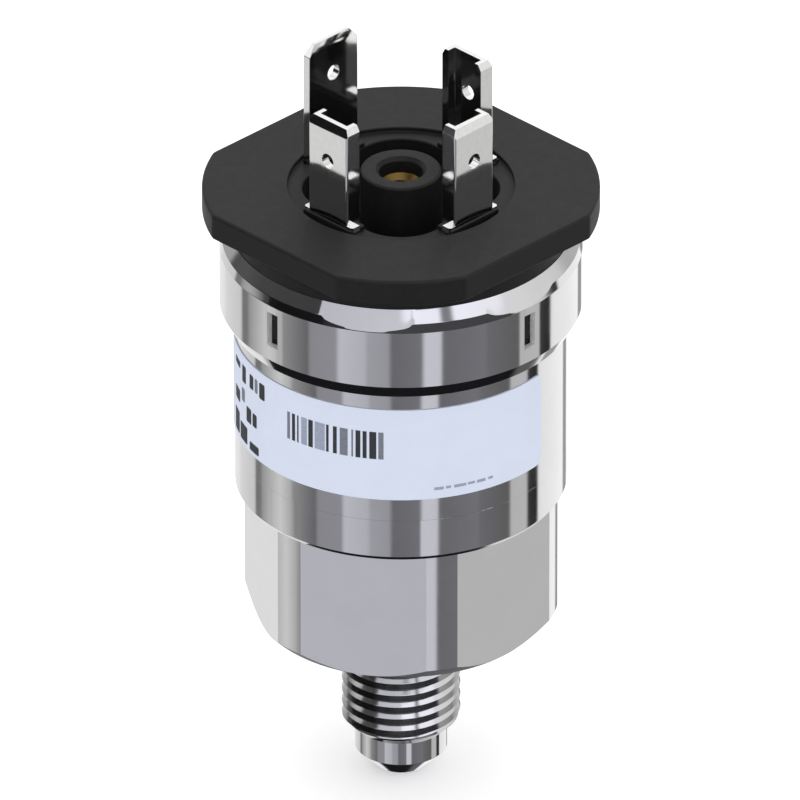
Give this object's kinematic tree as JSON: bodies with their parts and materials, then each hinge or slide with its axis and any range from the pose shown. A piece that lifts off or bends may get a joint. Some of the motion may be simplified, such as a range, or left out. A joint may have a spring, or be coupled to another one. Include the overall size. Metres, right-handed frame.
{
  "type": "pressure transmitter",
  "caption": "Pressure transmitter: cylindrical steel body with hexagon and flare-type threaded process connection below, and a black square-flanged electrical plug with blade contacts above.",
  "frame": {"origin": "on the axis, in the plane of the hexagon's underside, where the external thread starts", "axes": "+Z along the axis from the thread towards the electrical contacts; +X through the contact opposite the protective earth blade, which is on -X; the other two contacts are on -Y and +Y"},
  "size_m": [0.0338, 0.0338, 0.0743],
  "materials": {
    "stainless": "polished stainless steel, finely turned",
    "clamp_steel": "polished stainless steel, rolled edge",
    "black_plastic": "glass-filled polyamide, satin, fine moulding grain",
    "contact_tin": "tin-plated copper alloy, bright",
    "brass": "turned brass",
    "label_film": "pale blue-lavender polyester label film with grey printed bars",
    "black_rubber": "moulded elastomer",
    "foil": "thin corrugated stainless foil",
    "seal_glass": "fused glass seal",
    "gold_pin": "gold-plated pin",
    "ceramic": "sintered alumina",
    "silicon": "polished silicon",
    "board": "green solder mask on glass-epoxy laminate",
    "chip_body": "moulded chip package",
    "chip_parts": "ceramic chip parts with tinned ends",
    "solder_tin": "tinned leads",
    "capacitor_can": "drawn aluminium can",
    "cup_plastic": "natural moulded nylon",
    "wire_red": "flexible insulation",
    "wire_earth": "green and yellow insulation"
  },
  "bodies": {
    "root": {"process_connection": "stainless", "housing_tube": "stainless", "clamp_ring": "clamp_steel", "plug_base": "black_plastic", "plug_gasket": "black_rubber", "threaded_bush": "brass", "contact_1": "contact_tin", "contact_2": "contact_tin", "contact_3": "contact_tin", "earth_contact": "contact_tin", "label": "label_film", "cell_header": "stainless", "diaphragm_ring": "stainless", "sensor_diaphragm": "foil", "glass_seals": "seal_glass", "cell_pins": "gold_pin", "fill_ball": "stainless", "oil_filler": "ceramic", "chip_pedestal": "seal_glass", "sensor_chip": "silicon", "cell_seal": "black_rubber", "retaining_ring": "stainless", "board_spacer": "cup_plastic", "sensor_board": "board", "trimming_chip": "chip_body", "sensor_board_parts": "chip_parts", "link_strip": "chip_body", "link_pins": "gold_pin", "main_board": "board", "amplifier_chip": "chip_body", "amplifier_leads": "solder_tin", "surge_suppressor": "chip_body", "filter_capacitor": "capacitor_can", "main_board_parts": "chip_parts", "insulating_cup": "cup_plastic", "signal_wires": "wire_red", "earth_wire": "wire_earth"}
  },
  "joints": []
}
